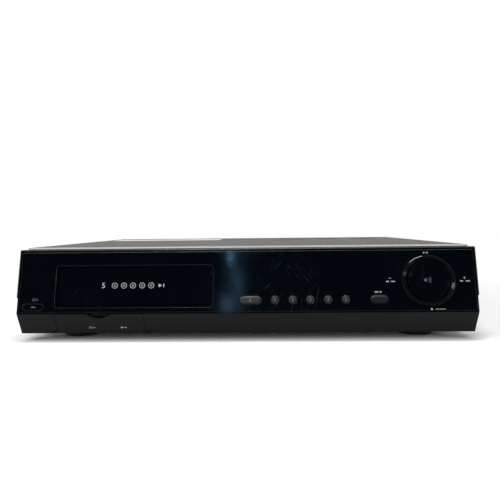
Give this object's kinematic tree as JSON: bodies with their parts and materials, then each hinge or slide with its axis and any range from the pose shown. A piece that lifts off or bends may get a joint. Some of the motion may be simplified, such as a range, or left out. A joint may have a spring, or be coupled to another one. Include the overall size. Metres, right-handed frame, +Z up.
{
  "type": "home theater receiver with disc changer",
  "caption": "Wide low home theater receiver with a gloss black sloping front, drop-down disc tray door, key row, round volume knob in a rocker ring and a flap over front ports.",
  "frame": {"origin": "on the standing surface, under the middle of the unit without its mains cord", "axes": "+X to the viewer's right along the front, +Y from the front to the rear, +Z up"},
  "size_m": [0.43, 0.4863, 0.088],
  "materials": {
    "gloss_black": "high gloss",
    "button_grey": "satin",
    "ring_black": "gloss",
    "charcoal": "fine matte",
    "cover_black": "satin paint",
    "zinc_steel": "zinc plated",
    "black_plastic": "matte",
    "white_plastic": "satin",
    "grey_plastic": "matte",
    "board_green": "solder mask",
    "board_tan": "phenolic board",
    "bare_aluminium": "satin",
    "display_glass": "smoked glass",
    "rubber_black": "matte",
    "copper_winding": "enamelled wire"
  },
  "bodies": {
    "case": {"front_frame": "gloss_black", "front_window": "gloss_black", "volume_encoder": "black_plastic", "front_board": "board_tan", "display_tube": "display_glass", "lower_fascia": "charcoal", "port_board": "board_tan", "usb_port": "zinc_steel", "top_cover": "cover_black", "chassis_base": "zinc_steel", "rear_panel": "cover_black", "foot_front_left": "rubber_black", "foot_rear_left": "rubber_black", "foot_front_right": "rubber_black", "foot_rear_right": "rubber_black", "disc_tray_2": "black_plastic", "disc_tray_3": "black_plastic", "disc_tray_4": "black_plastic", "disc_tray_5": "black_plastic", "changer_frame": "grey_plastic", "drive_belt": "rubber_black", "drive_bracket": "zinc_steel", "loading_motor": "bare_aluminium", "traverse_deck": "zinc_steel", "spindle_motor": "bare_aluminium", "clamp_bridge": "zinc_steel", "main_board": "board_green", "power_board": "board_tan", "transformer": "copper_winding", "heat_sink": "bare_aluminium", "fan_frame": "black_plastic", "speaker_terminals": "black_plastic", "av_block": "black_plastic", "aerial_block": "grey_plastic", "cord_strain_relief": "rubber_black", "cord_run": "rubber_black", "cord_coil": "rubber_black", "cord_plug": "rubber_black", "cord_tie": "black_plastic"},
    "tray": {"disc_tray_1": "black_plastic"},
    "door": {"tray_door": "gloss_black"},
    "rear_gear": {"drive_gear_rear": "white_plastic"},
    "front_gear": {"drive_gear_front": "white_plastic"},
    "loading_pinion": {"motor_pinion": "white_plastic"},
    "flap": {"port_flap": "charcoal"},
    "power_key": {"power_button": "gloss_black"},
    "open_key": {"open_button": "button_grey"},
    "function_key": {"function_button": "button_grey"},
    "disc_key_1": {"disc_button_1": "button_grey"},
    "disc_key_2": {"disc_button_2": "button_grey"},
    "disc_key_3": {"disc_button_3": "button_grey"},
    "disc_key_4": {"disc_button_4": "button_grey"},
    "disc_key_5": {"disc_button_5": "button_grey"},
    "knob": {"volume_knob": "gloss_black"},
    "ring_carrier": {"jog_ring_frame": "black_plastic"},
    "ring": {"jog_ring": "ring_black"},
    "table": {"turntable": "black_plastic"},
    "laser_sled": {"pickup": "black_plastic"},
    "clamp_puck": {"clamper": "white_plastic"},
    "fan": {"fan_rotor": "black_plastic"}
  },
  "joints": [
    {"name": "tray_slide", "type": "slide", "parent": "case", "child": "tray", "axis": [0, -1, 0], "range_m": [0, 0.24]},
    {"name": "door_hinge", "type": "hinge", "parent": "case", "child": "door", "pos_m": [-0.1044, -0.19043, 0.03633], "axis": [1, 0, 0], "range_deg": [0, 105.2]},
    {"name": "rear_gear_spin", "type": "hinge", "parent": "case", "child": "rear_gear", "pos_m": [-0.0286, -0.056, 0.06], "axis": [0, 0, 1], "range_deg": [0, 1147]},
    {"name": "front_gear_spin", "type": "hinge", "parent": "case", "child": "front_gear", "pos_m": [-0.0286, -0.158, 0.06], "axis": [0, 0, 1], "range_deg": [0, 1147]},
    {"name": "motor_pinion_spin", "type": "hinge", "parent": "case", "child": "loading_pinion", "pos_m": [-0.0286, -0.0695, 0.055], "axis": [0, 0, 1], "range_deg": [-2293, 0]},
    {"name": "flap_hinge", "type": "hinge", "parent": "case", "child": "flap", "pos_m": [-0.13685, -0.18379, 0.00888], "axis": [1, 0, 0], "range_deg": [0, 70]},
    {"name": "power_press", "type": "slide", "parent": "case", "child": "power_key", "axis": [0, 0.9659, -0.2588], "range_m": [0, 0.0008], "stiffness_N_per_m": 400},
    {"name": "open_press", "type": "slide", "parent": "case", "child": "open_key", "axis": [0, 0.9659, -0.2588], "range_m": [0, 0.0008], "stiffness_N_per_m": 400},
    {"name": "function_press", "type": "slide", "parent": "case", "child": "function_key", "axis": [0, 0.9659, -0.2588], "range_m": [0, 0.0008], "stiffness_N_per_m": 400},
    {"name": "disc_press_1", "type": "slide", "parent": "case", "child": "disc_key_1", "axis": [0, 0.9659, -0.2588], "range_m": [0, 0.0008], "stiffness_N_per_m": 400},
    {"name": "disc_press_2", "type": "slide", "parent": "case", "child": "disc_key_2", "axis": [0, 0.9659, -0.2588], "range_m": [0, 0.0008], "stiffness_N_per_m": 400},
    {"name": "disc_press_3", "type": "slide", "parent": "case", "child": "disc_key_3", "axis": [0, 0.9659, -0.2588], "range_m": [0, 0.0008], "stiffness_N_per_m": 400},
    {"name": "disc_press_4", "type": "slide", "parent": "case", "child": "disc_key_4", "axis": [0, 0.9659, -0.2588], "range_m": [0, 0.0008], "stiffness_N_per_m": 400},
    {"name": "disc_press_5", "type": "slide", "parent": "case", "child": "disc_key_5", "axis": [0, 0.9659, -0.2588], "range_m": [0, 0.0008], "stiffness_N_per_m": 400},
    {"name": "volume_turn", "type": "hinge", "parent": "case", "child": "knob", "pos_m": [0.1687, -0.18752, 0.05511], "axis": [0, -0.9659, 0.2588], "continuous": true},
    {"name": "ring_rock_up_down", "type": "hinge", "parent": "case", "child": "ring_carrier", "pos_m": [0.1687, -0.18201, 0.05364], "axis": [1, 0, 0], "range_deg": [-2.5, 2.5], "stiffness_Nm_per_rad": 0.8},
    {"name": "ring_rock_left_right", "type": "hinge", "parent": "ring_carrier", "child": "ring", "pos_m": [0.1687, -0.18201, 0.05364], "axis": [0, 0.2588, 0.9659], "range_deg": [-2.5, 2.5], "stiffness_Nm_per_rad": 0.8},
    {"name": "turntable_spin", "type": "hinge", "parent": "case", "child": "table", "pos_m": [-0.1044, -0.109, 0.053], "axis": [0, 0, 1], "continuous": true},
    {"name": "pickup_slide", "type": "slide", "parent": "case", "child": "laser_sled", "axis": [0, -1, 0], "range_m": [0, 0.032]},
    {"name": "clamper_spin", "type": "hinge", "parent": "case", "child": "clamp_puck", "pos_m": [-0.1044, -0.109, 0.075], "axis": [0, 0, 1], "continuous": true},
    {"name": "fan_spin", "type": "hinge", "parent": "case", "child": "fan", "pos_m": [0.062, 0.176, 0.048], "axis": [0, 1, 0], "continuous": true}
  ],
  "couplings": [
    {"joint": "door_hinge", "follows": "tray_slide", "rad_per_m": 7.6358},
    {"joint": "rear_gear_spin", "follows": "tray_slide", "rad_per_m": 83.333},
    {"joint": "front_gear_spin", "follows": "tray_slide", "rad_per_m": 83.333},
    {"joint": "motor_pinion_spin", "follows": "tray_slide", "rad_per_m": -166.67}
  ]
}
